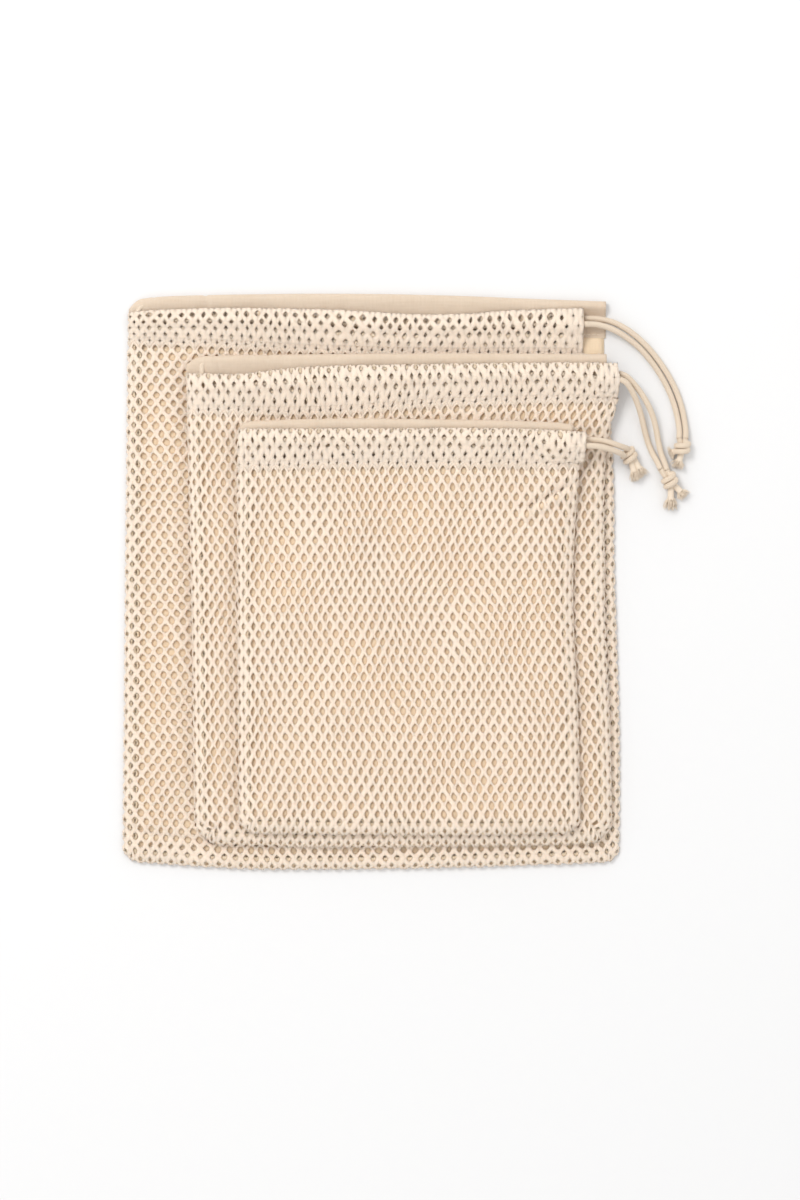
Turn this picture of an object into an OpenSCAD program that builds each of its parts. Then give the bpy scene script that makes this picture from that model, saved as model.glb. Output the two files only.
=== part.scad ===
// Set of three flat drawstring laundry bags, laid one on another: a large, a medium and a
// small one. Each bag has a knotted net front, a woven muslin back, and a cord that runs
// through a hem casing on both layers and ends in one knot.
// The set lies on the plane z = 0, with the large bag centred on the origin and the mouths
// towards +Y. Lengths are in millimetres.

/* [Large bag] */
// Width of the large bag
large_w = 298; // [290:1:310]
// Length of the large bag, from mouth to bottom seam
large_l = 348; // [340:1:360]

/* [Medium bag] */
// Width of the medium bag
medium_w = 258; // [250:1:262]
// Length of the medium bag
medium_l = 300; // [290:1:304]
// Sideways place of the medium bag on the large one
medium_x = 18; // [14:1:18]
// Lengthways place of the medium bag on the large one
medium_y = -11; // [-14:1:-11]

/* [Small bag] */
// Width of the small bag
small_w = 206; // [198:1:208]
// Length of the small bag
small_l = 252; // [244:1:256]
// Sideways place of the small bag
small_x = 23; // [19:1:24]
// Lengthways place of the small bag
small_y = -28; // [-32:1:-28]

/* [Cloth] */
// Thickness of the woven back cloth
muslin_t = 0.5; // [0.4:0.1:0.6]
// Thickness of the knotted net
net_t = 1.2; // [1.0:0.1:1.4]
// Free height inside each bag as it lies
pocket_gap = 4.8; // [4.7:0.1:5.4]
// Clearance between one bag and the next
lay_gap = 0.3; // [0.3:0.1:0.6]
// Radius of the bottom corners, seen from above
corner_r = 12; // [10:1:16]

/* [Hems and seams] */
// Depth of the folded hem casings
hem_depth = 22; // [20:1:24]
// Width of the seam allowances inside
seam_w = 7; // [5:1:8]
// Width and height of a row of stitches
stitch_d = 0.4; // [0.3:0.1:0.6]

/* [Drawcord] */
// Diameter of the drawcord
cord_d = 3.5; // [3.0:0.1:3.5]
// Play between the cord and its casing, all round
cord_play = 0.25; // [0.2:0.05:0.3]

/* [Hidden] */
$fn = 48;
large = 0;
medium = 1;
small = 2;

// Sizes of each bag, in the order large, medium, small
widths = [large_w, medium_w, small_w];
lengths = [large_l, medium_l, small_l];
centres = [[0, 0], [medium_x, medium_y], [small_x, small_y]];
// Distance from the back layer's top edge down to the net layer's top edge
front_drops = [10.5, 9, 8.5];
// How far each casing stops short of the right edge; below 0 it runs past the edge
back_insets = [7.5, 5.5, 5.5];
front_insets = [21, -2, -2];

bag_t = muslin_t + pocket_gap + net_t;
cord_r = cord_d / 2;
channel_r = cord_r + cord_play;
back_tube_r = channel_r + muslin_t;
front_wall = 0.75;
front_tube_r = channel_r + front_wall;
cord_drop = 7.5;
leg_pitch = 3.8;
edge_r = pocket_gap + net_t;
turn_room = 10;
window_l = 24;
seam_t = 2 * muslin_t;
eps = 0.01;

muslin_colour = [0.93, 0.85, 0.76];
net_colour = [0.98, 0.92, 0.84];
seam_colour = [0.90, 0.80, 0.69];
thread_colour = [0.97, 0.93, 0.87];
cord_colour = [0.92, 0.85, 0.76];

function bottom_z(b) = b * (bag_t + lay_gap);
function left_x(b) = centres[b][0] - widths[b] / 2;
function right_x(b) = centres[b][0] + widths[b] / 2;
function bottom_y(b) = centres[b][1] - lengths[b] / 2;
function top_y(b) = centres[b][1] + lengths[b] / 2;
function hem_y(b) = top_y(b) - hem_depth;
function front_top_y(b) = top_y(b) - front_drops[b];
function front_hem_y(b) = front_top_y(b) - hem_depth;
function net_z(b) = bottom_z(b) + muslin_t + pocket_gap;
function back_end_x(b) = right_x(b) - back_insets[b];
function front_end_x(b) = right_x(b) - front_insets[b];
function turn_x(b) = left_x(b) + turn_room;

// Centre lines of the cord inside the two casings, as [y, z]
function back_line(b) = [top_y(b) - back_tube_r, bottom_z(b) + back_tube_r];
function front_line(b) = [front_top_y(b) - cord_drop, net_z(b) + front_tube_r];
// Where the back run comes out beside the front run, resting on the back hem
function back_exit(b) = [front_line(b)[0] + leg_pitch, bottom_z(b) + seam_t + cord_r + 0.2];

// Routes of the free cord legs, from the casing's end to the knot
upper_routes = [
    [[128, 159.8, 3], [136, 159.6, 3.6], [146, 157.4, 4.2], [156, 152, 3.8], [165, 144.4, 2.8],
     [172, 136.4, 2.1], [178.5, 127, 1.8], [183.5, 117.5, 1.8], [187, 108, 1.8],
     [189, 99, 2.2], [189.8, 92, 3.2], [189.6, 87, 4.4]],
    [[149, 126.3, 9.8], [154, 124, 10], [160, 117.5, 9.4], [165.5, 109.5, 8.2], [169.5, 101, 6.4],
     [171.8, 93, 4.6], [173.2, 85.5, 3.4], [174.8, 78.5, 3.4], [176.8, 73, 4.2], [178.4, 68, 4.8]],
    [[128, 85.8, 16.6], [134, 85.8, 16.8], [140, 84.9, 16.8], [145.6, 83.4, 16],
     [150.6, 81.8, 13], [153.6, 81, 9.4], [155.2, 80.4, 6.6]]];
lower_routes = [
    [[128, 156, 8], [136, 155.8, 7.6], [145, 153.2, 6.4], [153.6, 148.4, 4.8], [162, 141.8, 3.2],
     [168.8, 134.2, 2.2], [175, 125.2, 1.8], [179.8, 116, 1.8], [183.2, 107, 1.8],
     [185.2, 98.6, 2.2], [186, 92, 3.2], [185.8, 87, 4.4]],
    [[149, 122.5, 14.8], [153.4, 120, 14.2], [157.2, 114.5, 11.8], [160.2, 108, 8.8],
     [162.8, 100.6, 5.8], [165, 92, 3.2], [167.4, 84, 2], [170, 77.8, 2.4], [172.6, 73, 3.6],
     [174.6, 68.4, 4.8]],
    [[128, 82, 21.6], [133.6, 81.9, 20.8], [139.4, 81, 19.2], [144.8, 79.6, 17],
     [149.4, 78, 13.4], [151.8, 77, 9.6], [152.8, 76.4, 6.6]]];

// Knots: centre, and the angle of the knot's axis in plan
knot_centres = [[187.6, 82.4, 4.7], [179.6, 62.6, 4.7], [155, 77.6, 4.7]];
knot_angles = [-96, -66, -62];
// Frayed ends: where each one's root lies, and where its tip lies
frayed_roots = [[[187, 77.4, 3.4], [182, 79, 3.4]], [[180.8, 56.4, 3.6], [183.6, 58.2, 3.4]],
    [[157.4, 72.4, 3.6], [159.2, 74, 3.4]]];
frayed_tips = [[[185.6, 69.2, 3.2], [179.4, 77.2, 3.2]], [[180.6, 45, 3.2], [189.4, 52.4, 3.2]],
    [[159.6, 61.6, 3.2], [164, 66.6, 3.2]]];
frayed_r = 2.9;
wrap_r = 2.9;

// ---- helpers ----

function unit(v) = v / norm(v);

// Direction of a path at its point i
function path_dir(path, i) =
    let (last = len(path) - 1)
    i == 0 ? unit(path[1] - path[0])
    : i == last ? unit(path[last] - path[last - 1])
    : unit(unit(path[i + 1] - path[i]) + unit(path[i] - path[i - 1]));

// One ring of a round tube, square to dir at point p
function ring(p, dir, r, sides) =
    let (side = unit(cross(dir, [0, 0, 1])), up = cross(side, dir))
    [for (k = [0 : sides - 1])
        let (a = 360 * (k + 0.5) / sides)
        p + r * (cos(a) * side + sin(a) * up)];

// Round tube swept along a path, with the direction at each end given or taken from the path
module tube(path, r, sides = 8, first_dir = undef, last_dir = undef) {
    last = len(path) - 1;
    dirs = [for (i = [0 : last])
        i == 0 && first_dir != undef ? first_dir
        : i == last && last_dir != undef ? last_dir : path_dir(path, i)];
    rings = [for (i = [0 : last]) each ring(path[i], dirs[i], r, sides)];
    walls = [for (i = [0 : last - 1], k = [0 : sides - 1])
        let (n = (k + 1) % sides)
        [i * sides + k, i * sides + n, (i + 1) * sides + n, (i + 1) * sides + k]];
    first_cap = [[for (k = [0 : sides - 1]) sides - 1 - k]];
    last_cap = [[for (k = [0 : sides - 1]) last * sides + k]];
    polyhedron(points = rings, faces = concat(walls, first_cap, last_cap));
}

// Box given by its lowest and highest corners
module box(low, high) {
    translate(low) cube(high - low);
}

// Extrudes a shape drawn in [y, z] from one x to another
module along_x(x0, x1) {
    translate([x0, 0, 0]) rotate([90, 0, 90]) linear_extrude(height = x1 - x0) children();
}

// Extrudes a shape drawn in [x, z] from one y to another
module along_y(y0, y1) {
    translate([0, y1, 0]) rotate([90, 0, 0]) linear_extrude(height = y1 - y0) children();
}

// Plan of a bag up to y1, with round bottom corners, drawn in by inset
module plan(b, y1, inset = 0) {
    r = corner_r - inset;
    x0 = left_x(b) + inset;
    x1 = right_x(b) - inset;
    y0 = bottom_y(b) + inset;
    translate([x0, y0 + r]) square([x1 - x0, y1 - y0 - r]);
    translate([x0 + r, y0]) square([x1 - x0 - 2 * r, r + eps]);
    for (x = [x0 + r, x1 - r]) translate([x, y0 + r]) circle(r);
}

// Body that the net wraps: flat on top, with round sides and a round bottom edge
module pillow(b, r, y1, inset) {
    z0 = bottom_z(b) + muslin_t;
    both_edges = 2 * edge_r;
    intersection() {
        translate([0, 0, z0]) linear_extrude(height = r) plan(b, y1, inset);
        along_y(bottom_y(b) - 1, y1 + 1) {
            translate([left_x(b) + edge_r, z0]) square([widths[b] - both_edges, r]);
            for (x = [left_x(b) + edge_r, right_x(b) - edge_r]) translate([x, z0]) circle(r);
        }
        along_x(left_x(b) - 1, right_x(b) + 1) {
            translate([bottom_y(b) + edge_r, z0]) square([y1 - bottom_y(b), r]);
            translate([bottom_y(b) + edge_r, z0]) circle(r);
        }
    }
}

// ---- cloth ----

// Woven back of a bag, up to its hem
module back_panel(b) {
    color(muslin_colour) translate([0, 0, bottom_z(b)]) linear_extrude(height = muslin_t)
        plan(b, hem_y(b));
}

// Folded top hem of the woven back: two flat layers and a round channel along the fold
module back_casing(b) {
    line = back_line(b);
    color(muslin_colour) difference() {
        union() {
            box([left_x(b), hem_y(b), bottom_z(b)], [back_end_x(b), line[0], bottom_z(b) + seam_t]);
            translate([left_x(b), line[0], line[1]]) rotate([0, 90, 0])
                cylinder(r = back_tube_r, h = back_end_x(b) - left_x(b));
        }
        translate([left_x(b) - 1, line[0], line[1]]) rotate([0, 90, 0])
            cylinder(r = channel_r, h = widths[b] + 10);
        // room for the cord to turn round at the closed end of the mouth
        box([left_x(b) - 1, hem_y(b) - 1, bottom_z(b) + seam_t],
            [turn_x(b), top_y(b) + 1, bottom_z(b) + bag_t]);
        // window through which the cord leaves the channel
        box([back_end_x(b) - window_l, hem_y(b) - 1, bottom_z(b) + seam_t],
            [back_end_x(b) - 2, line[0] + 1, bottom_z(b) + bag_t]);
    }
}

// Net front of a bag, wrapped down to the back panel at both sides and at the bottom
module front_net(b) {
    color(net_colour) difference() {
        pillow(b, edge_r, front_hem_y(b), 0);
        pillow(b, pocket_gap, front_hem_y(b) + 5, net_t);
    }
}

// Folded top hem of the net: two flat layers with a round channel for the cord
module front_casing(b) {
    line = front_line(b);
    z0 = net_z(b);
    color(net_colour) difference() {
        union() {
            box([left_x(b) + 1, front_hem_y(b), z0], [front_end_x(b), front_top_y(b), z0 + 2 * net_t]);
            translate([left_x(b) + 1, line[0], line[1]]) rotate([0, 90, 0])
                cylinder(r = front_tube_r, h = front_end_x(b) - left_x(b) - 1);
        }
        translate([left_x(b) - 1, line[0], line[1]]) rotate([0, 90, 0])
            cylinder(r = channel_r, h = widths[b] + 10);
        // room for the cord to turn round at the closed end of the mouth
        box([left_x(b), line[0] - front_tube_r - 1, z0 - 1],
            [turn_x(b), front_top_y(b) + 1, z0 + 3 * front_tube_r]);
    }
}

// Seam allowance along one side, inside the bag: side is -1 for the left, 1 for the right
module side_seam(b, side) {
    edge = side < 0 ? left_x(b) : right_x(b);
    inner = edge - side * (net_t + 0.6 + seam_w);
    outer = edge - side * (net_t + 0.6);
    z0 = bottom_z(b) + muslin_t;
    color(seam_colour) box([min(inner, outer), bottom_y(b) + corner_r, z0],
        [max(inner, outer), front_hem_y(b) - 1, z0 + seam_t]);
}

// Seam allowance along the bottom, inside the bag
module bottom_seam(b) {
    y0 = bottom_y(b) + net_t + 0.6;
    z0 = bottom_z(b) + muslin_t;
    color(seam_colour) box([left_x(b) + corner_r, y0, z0], [right_x(b) - corner_r, y0 + seam_w, z0 + seam_t]);
}

// Row of stitches that closes the back casing
module back_hem_stitch(b) {
    z0 = bottom_z(b) + seam_t;
    color(thread_colour) box([left_x(b) + 2, hem_y(b) + 1.5, z0],
        [back_end_x(b) - 2, hem_y(b) + 1.5 + stitch_d, z0 + stitch_d]);
}

// Row of stitches that closes the front casing
module front_hem_stitch(b) {
    z0 = net_z(b) + 2 * net_t;
    color(thread_colour) box([left_x(b) + 3, front_hem_y(b) + 2, z0],
        [front_end_x(b) - 2, front_hem_y(b) + 2 + stitch_d, z0 + stitch_d]);
}

// ---- drawcord ----

// Cord inside a bag: out of the back casing, round the closed end and through the front casing
module cord_run(b) {
    back = back_line(b);
    front = front_line(b);
    out = back_exit(b);
    x1 = front_end_x(b);
    window_x = back_end_x(b) - window_l + 3;
    mid = [(back[0] + front[0]) / 2, (back[1] + front[1]) / 2];
    half = [(back[0] - front[0]) / 2, (back[1] - front[1]) / 2];
    turn_r = norm(half);
    turn = [for (a = [0 : 22.5 : 180])
        [turn_x(b) - turn_r * sin(a), mid[0] + half[0] * cos(a), mid[1] + half[1] * cos(a)]];
    path = concat(
        [[x1, out[0], out[1]], [x1 - 3, out[0], out[1]],
         [window_x + 9, (back[0] + out[0]) / 2 - 1, out[1]], [window_x + 4, back[0] - 1.6, back[1] + 0.2],
         [window_x, back[0], back[1]]],
        turn, [[x1, front[0], front[1]]]);
    color(cord_colour) tube(path, cord_r, first_dir = [-1, 0, 0], last_dir = [1, 0, 0]);
}

// Free leg of the cord that comes from the back casing
module cord_upper_leg(b) {
    color(cord_colour) tube(upper_routes[b], cord_r, first_dir = [1, 0, 0]);
}

// Free leg of the cord that comes from the front casing
module cord_lower_leg(b) {
    color(cord_colour) tube(lower_routes[b], cord_r, first_dir = [1, 0, 0]);
}

// Overhand knot that ties both legs together
module cord_knot(b) {
    color(cord_colour) translate(knot_centres[b]) rotate([0, 0, knot_angles[b]]) rotate([0, 90, 0]) {
        cylinder(r = wrap_r, h = 2.4 * cord_d, center = true);
        for (z = [-0.5, 0.5] * cord_d) translate([0, 0, z]) rotate_extrude()
            translate([wrap_r, 0]) circle(cord_r);
    }
}

// Short tails below the knot, each opened into a tuft of loose threads
module cord_frayed_ends(b) {
    for (k = [0, 1]) {
        root = frayed_roots[b][k];
        run = frayed_tips[b][k] - root;
        turn = atan2(run[1], run[0]);
        dip = acos(run[2] / norm(run));
        color(cord_colour) translate(root) rotate([0, dip, turn])
            cylinder(r1 = cord_r, r2 = frayed_r, h = norm(run));
    }
}

back_panel(large);  // large_back_panel
back_casing(large);  // large_back_casing
back_hem_stitch(large);  // large_back_hem_stitch
front_net(large);  // large_front_net
front_casing(large);  // large_front_casing
front_hem_stitch(large);  // large_front_hem_stitch
side_seam(large, -1);  // large_left_seam
side_seam(large, 1);  // large_right_seam
bottom_seam(large);  // large_bottom_seam
cord_run(large);  // large_cord_run
cord_upper_leg(large);  // large_cord_upper_leg
cord_lower_leg(large);  // large_cord_lower_leg
cord_knot(large);  // large_cord_knot
cord_frayed_ends(large);  // large_cord_frayed_ends
back_panel(medium);  // medium_back_panel
back_casing(medium);  // medium_back_casing
back_hem_stitch(medium);  // medium_back_hem_stitch
front_net(medium);  // medium_front_net
front_casing(medium);  // medium_front_casing
front_hem_stitch(medium);  // medium_front_hem_stitch
side_seam(medium, -1);  // medium_left_seam
side_seam(medium, 1);  // medium_right_seam
bottom_seam(medium);  // medium_bottom_seam
cord_run(medium);  // medium_cord_run
cord_upper_leg(medium);  // medium_cord_upper_leg
cord_lower_leg(medium);  // medium_cord_lower_leg
cord_knot(medium);  // medium_cord_knot
cord_frayed_ends(medium);  // medium_cord_frayed_ends
back_panel(small);  // small_back_panel
back_casing(small);  // small_back_casing
back_hem_stitch(small);  // small_back_hem_stitch
front_net(small);  // small_front_net
front_casing(small);  // small_front_casing
front_hem_stitch(small);  // small_front_hem_stitch
side_seam(small, -1);  // small_left_seam
side_seam(small, 1);  // small_right_seam
bottom_seam(small);  // small_bottom_seam
cord_run(small);  // small_cord_run
cord_upper_leg(small);  // small_cord_upper_leg
cord_lower_leg(small);  // small_cord_lower_leg
cord_knot(small);  // small_cord_knot
cord_frayed_ends(small);  // small_cord_frayed_ends
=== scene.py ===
"""Looks of a set of three drawstring laundry bags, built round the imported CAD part.

The set lies on z = 0 with the mouths towards +Y. Each bag has a knotted net front, a muslin
back, a hem casing on each, and a cord that leaves the casings on the right and ends in a knot.
Shapes are worked out in millimetres and turned to metres when a mesh is made.
"""
import math

import bpy
import numpy as np
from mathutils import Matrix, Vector


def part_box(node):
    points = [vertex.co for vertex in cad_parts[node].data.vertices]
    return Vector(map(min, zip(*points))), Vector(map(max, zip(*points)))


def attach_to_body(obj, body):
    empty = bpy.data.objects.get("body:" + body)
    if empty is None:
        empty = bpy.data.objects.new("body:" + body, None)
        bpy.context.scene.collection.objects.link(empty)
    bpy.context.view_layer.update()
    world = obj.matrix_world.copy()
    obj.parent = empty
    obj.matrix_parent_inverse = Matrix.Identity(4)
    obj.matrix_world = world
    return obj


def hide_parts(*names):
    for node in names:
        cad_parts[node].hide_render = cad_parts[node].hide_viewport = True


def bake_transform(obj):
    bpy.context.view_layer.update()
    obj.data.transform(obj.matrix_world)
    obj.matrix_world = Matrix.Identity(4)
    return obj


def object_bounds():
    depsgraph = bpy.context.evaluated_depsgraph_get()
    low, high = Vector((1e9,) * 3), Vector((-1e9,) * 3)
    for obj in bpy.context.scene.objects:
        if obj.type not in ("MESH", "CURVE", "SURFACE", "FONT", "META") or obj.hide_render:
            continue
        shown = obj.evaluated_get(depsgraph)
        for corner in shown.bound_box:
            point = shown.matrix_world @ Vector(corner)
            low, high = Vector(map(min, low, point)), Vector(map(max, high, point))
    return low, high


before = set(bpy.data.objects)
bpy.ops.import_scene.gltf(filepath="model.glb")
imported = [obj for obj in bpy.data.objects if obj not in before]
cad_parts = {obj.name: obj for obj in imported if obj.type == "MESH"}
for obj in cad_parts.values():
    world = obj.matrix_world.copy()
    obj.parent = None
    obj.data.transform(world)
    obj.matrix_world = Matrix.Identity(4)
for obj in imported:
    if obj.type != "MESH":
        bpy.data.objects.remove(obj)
CAD_LOW, CAD_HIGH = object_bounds()

MM = 0.001
BAGS = ("large", "medium", "small")

# ---- sizes, in millimetres ----

CORD_D = 3.5
MUSLIN_T = 0.45
# Centre of the woven back above the underside of its bag
BACK_LIFT = 0.25
# Free rise of the net's centre above the back's centre
PUFF = 5.65
# Round edge where the net turns down to its seams: radius, height of its middle above the
# back's centre, and slope where it ends
EDGE_R = 1.1
EDGE_MID = 1.45
EDGE_SLOPE = math.radians(30)
CORNER_R = {"large": 9, "medium": 16, "small": 10}
# Strands of the net: half height above and below their centre surface
STRAND_TOP = 0.7
STRAND_UNDER = 0.5
# Clearance between a net's strands and the bag that lies on them
LAY_GAP = 0.6
# Distance from the net's centre down to the woven back's, where the empty bag's sides nearly meet
MEET_GAP = 1.7
# Height of the net's broad ripples
WAVE = 0.35
# Width of a side seam's allowance
SEAM_W = 7
# Fold at the right end of a net casing
FOLD_R = 0.7
# Share of the way up a net casing to the ridge over its cord
RIDGE = 14.5 / 22
# Free space from a cord's centre to the cloth round it
CORD_ROOM = 2.6

# Net of each bag: distance between holes across and between rows, the holes' half sizes, and
# their shape, where 2 is an oval and less comes nearer a rhombus
NET_PITCH = {"large": (6.6, 4.7), "medium": (6.1, 5.07), "small": (6.1, 5.07)}
HOLE_HALF = {"large": (1.7, 2.05), "medium": (1.28, 2.24), "small": (1.28, 2.24)}
HOLE_POWER = {"large": 1.95, "medium": 1.92, "small": 1.92}
# Parts of a net: unevenness of the holes, their size against HOLE_HALF (less in the casing, where
# the net lies double), the strands' half heights, and how and on what the cloth is held
NET_PARTS = {"front_net": (1, 1, (STRAND_TOP, STRAND_UNDER), "laid", "back_panel"),
             "front_casing": (2.6, 0.86, (0.5, 0.25), "folded", "cord_run")}

# How far each edge strays from a straight line: (share of the way along the edge, offset)
LEFT_SWAY = {"large": [(0, -2), (0.5, -0.4), (1, 1.4)], "medium": [(0, 4), (0.5, 2), (1, -1.5)],
             "small": [(0, 0), (0.5, -0.8), (1, -1)]}
RIGHT_SWAY = {"large": [(0, 0.6), (0.2, 1), (0.5, -2), (0.78, -4.4), (0.86, -7), (1, -7.5)],
              "medium": [(0, -2), (0.2, -3), (0.55, -6.5), (0.85, -3), (0.93, 3), (1, 1)],
              "small": [(0, -0.5), (0.3, -2), (0.6, -5), (0.85, -2), (1, 1.5)]}
BOTTOM_SWAY = {"large": [(0, 5), (0.25, 0.3), (0.4, 0), (0.75, 1.8), (1, 4.4)],
               "medium": [(0, 2.4), (0.3, 1), (0.7, 1.6), (1, 3)],
               "small": [(0, 2.6), (0.4, 1.6), (0.7, 1.4), (1, 2.6)]}
# Top edge of the woven back, top edge of the net, and the net's hem line
TOP_SWAY = {"large": [(0, -11), (0.01, -7), (0.022, -3.6), (0.045, -1.8), (0.08, -0.9), (0.16, -0.1),
                      (0.25, 0.4), (0.4, 0.8), (0.64, -0.2), (0.85, -2.6), (1, -4.2)],
            "medium": [(0, -7), (0.012, -4.4), (0.03, -2.8), (0.06, -2.2), (0.15, -1.8), (0.35, -1.2),
                       (0.6, -0.8), (1, -1.3)],
            "small": [(0, -5), (0.012, -2.6), (0.03, -1.4), (0.08, -0.7), (0.25, 0.4), (0.6, -0.1),
                      (0.85, -1.2), (0.95, -2.4), (1, -4.5)]}
FRONT_TOP_SWAY = {"large": [(0, 0), (0.1, 1.6), (0.4, 1.6), (0.65, -1.6), (0.8, 0.8), (1, 2.6)],
                  "medium": [(0, -3.4), (0.12, -4), (0.22, -1), (0.6, 2), (1, 3.2)],
                  "small": [(0, 3.2), (0.3, 3.2), (0.8, 3.2), (1, 1.8)]}
HEM_SWAY = {"large": [(0, 5.6), (0.2, 3), (0.4, 0), (1, -2.4)],
            "medium": [(0, -3), (0.3, -4.4), (0.6, 1), (1, 3.6)],
            "small": [(0, 3), (0.5, 5), (1, 4.2)]}

# Creases that cross a net: both ends in plan, height (below 0 for a groove), half width,
# and how much smaller the holes on it are
CREASES = {"large": [((-156, -148), (-88, -158), -2.2, 2.0, 0.1), ((-156, -160), (-88, -166), 0.3, 4, 0.3)],
           "medium": [((-116, -141), (-84, -152), -1.6, 1.8, 0.1)],
           "small": [((88, 38.5), (132, 60.5), 3.0, 2.2, 0.5), ((90, 43.5), (128, 63), -2.6, 2.0, 0.1)]}

# Routes of the free cord legs, from the casing's end to the knot, in metres
UPPER_ROUTES = {
    "large": [(0.128, 0.1598, 0.003), (0.136, 0.1596, 0.0036), (0.146, 0.1574, 0.0042),
              (0.156, 0.152, 0.0038), (0.165, 0.1444, 0.0028), (0.172, 0.1364, 0.0021),
              (0.1785, 0.127, 0.0018), (0.1835, 0.1175, 0.0018), (0.187, 0.108, 0.0018),
              (0.189, 0.099, 0.0022), (0.1898, 0.092, 0.0032), (0.1896, 0.087, 0.0044)],
    "medium": [(0.149, 0.1263, 0.0098), (0.154, 0.124, 0.01), (0.16, 0.1175, 0.0094),
               (0.1655, 0.1095, 0.0082), (0.1695, 0.101, 0.0064), (0.1718, 0.093, 0.0046),
               (0.1732, 0.0855, 0.0034), (0.1748, 0.0785, 0.0034), (0.1768, 0.073, 0.0042),
               (0.1784, 0.068, 0.0048)],
    "small": [(0.128, 0.0858, 0.0166), (0.134, 0.0858, 0.0168), (0.14, 0.0849, 0.0168),
              (0.1456, 0.0834, 0.016), (0.1506, 0.0818, 0.013), (0.1536, 0.081, 0.0094),
              (0.1552, 0.0804, 0.0066)]}
LOWER_ROUTES = {
    "large": [(0.128, 0.156, 0.008), (0.136, 0.1558, 0.0076), (0.145, 0.1532, 0.0064),
              (0.1536, 0.1484, 0.0048), (0.162, 0.1418, 0.0032), (0.1688, 0.1342, 0.0022),
              (0.175, 0.1252, 0.0018), (0.1798, 0.116, 0.0018), (0.1832, 0.107, 0.0018),
              (0.1852, 0.0986, 0.0022), (0.186, 0.092, 0.0032), (0.1858, 0.087, 0.0044)],
    "medium": [(0.149, 0.1225, 0.0148), (0.1534, 0.12, 0.0142), (0.1572, 0.1145, 0.0118),
               (0.1602, 0.108, 0.0088), (0.1628, 0.1006, 0.0058), (0.165, 0.092, 0.0032),
               (0.1674, 0.084, 0.002), (0.17, 0.0778, 0.0024), (0.1726, 0.073, 0.0036),
               (0.1746, 0.0684, 0.0048)],
    "small": [(0.128, 0.082, 0.0216), (0.1336, 0.0819, 0.0208), (0.1394, 0.081, 0.0192),
              (0.1448, 0.0796, 0.017), (0.1494, 0.078, 0.0134), (0.1518, 0.077, 0.0096),
              (0.1528, 0.0764, 0.0066)]}
# Knots and tails, in millimetres and degrees: the knot's centre and angle, where its winding
# starts and how far round it goes, each tail's root and tip, and the loose threads of a tail
KNOT_CENTRE = {"large": (187.6, 82.4, 4.7), "medium": (179.6, 62.6, 4.7), "small": (155, 77.6, 4.7)}
KNOT_ANGLE = {"large": -96, "medium": -66, "small": -62}
WINDING_START = -70
WINDING_TURN = 500
LOOSE_THREADS = 90
TAILS = {"large": [((187, 77.8, 3.4), (184.6, 69.6, 3.3)), ((183.6, 79.6, 3.4), (180, 78, 3.4))],
         "medium": [((180.8, 56.4, 3.6), (180.6, 45, 3.2)), ((183.6, 58.2, 3.4), (189.4, 52.4, 3.2))],
         "small": [((157, 72.6, 3.6), (159.8, 62.2, 3.2)), ((159.2, 73.6, 3.4), (163.8, 65, 3.2))]}


# ---- curves and fields ----

def smooth(t):
    """Eased step from 0 to 1."""
    t = np.clip(t, 0, 1)
    return t * t * (3 - 2 * t)


def curve(table, t):
    """Smooth curve through (t, value) pairs, level beyond its ends."""
    ts, values = np.array(table, float).T
    slopes = np.gradient(values, ts)
    t = np.clip(t, ts[0], ts[-1])
    k = np.clip(np.searchsorted(ts, t, side="right") - 1, 0, len(ts) - 2)
    h = ts[k + 1] - ts[k]
    s = (t - ts[k]) / h
    rest = 1 - s
    first = (1 + 2 * s) * rest ** 2 * values[k] + s * rest ** 2 * h * slopes[k]
    second = s * s * (3 - 2 * s) * values[k + 1] - s * s * rest * h * slopes[k + 1]
    return first + second


def rounded_path(points, per_span=6):
    """Smooth path through points, with per_span steps between each two of them."""
    p = np.array(points, float)
    ends = np.vstack([2 * p[0] - p[1], p, 2 * p[-1] - p[-2]])
    t = (np.arange(per_span) / per_span)[:, None]
    spans = []
    for a, b, c, d in zip(ends, ends[1:], ends[2:], ends[3:]):
        spans.append(0.5 * (2 * b + (c - a) * t + (2 * a - 5 * b + 4 * c - d) * t ** 2
                            + (3 * b - a - 3 * c + d) * t ** 3))
    return np.vstack(spans + [p[-1:]])


def distances(path):
    """Distance along a path to each of its points."""
    steps = np.linalg.norm(np.diff(path, axis=0), axis=1)
    return np.concatenate([[0], np.cumsum(steps)])


class Ripples:
    """Smooth random field over (x, y): a sum of plane waves, with values mostly within 1 of 0."""

    def __init__(self, seed, shortest, longest, count=14):
        rng = np.random.default_rng(seed)
        length = np.exp(rng.uniform(math.log(shortest), math.log(longest), count))
        angle = rng.uniform(0, 2 * math.pi, count)
        self.waves = 2 * math.pi / length * np.array([np.cos(angle), np.sin(angle)])
        self.phase = rng.uniform(0, 2 * math.pi, count)

    def __call__(self, x, y):
        total = 0
        for kx, ky, phase in zip(*self.waves, self.phase):
            total = total + np.sin(kx * x + ky * y + phase)
        return total / (1.3 * math.sqrt(len(self.phase) / 2))


def edge_profile():
    """The net wrapped over an edge, from its seam: cloth distance, inset from the edge, and rise."""
    turn = np.radians(np.linspace(250, 90 + math.degrees(EDGE_SLOPE), 14))
    inset = EDGE_R * (1 + np.cos(turn))
    rise = EDGE_MID + EDGE_R * np.sin(turn)
    run = np.linspace(0.4, 40, 100)
    left = PUFF - rise[-1]
    reach = left / math.tan(EDGE_SLOPE)
    inset = np.concatenate([inset, inset[-1] + run])
    rise = np.concatenate([rise, PUFF - left * np.exp(-run / reach)])
    return distances(np.stack([inset, rise], 1)), inset, rise


EDGE_ALONG, EDGE_INSET, EDGE_RISE = edge_profile()
OUTERMOST = int(np.argmin(EDGE_INSET))
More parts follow.
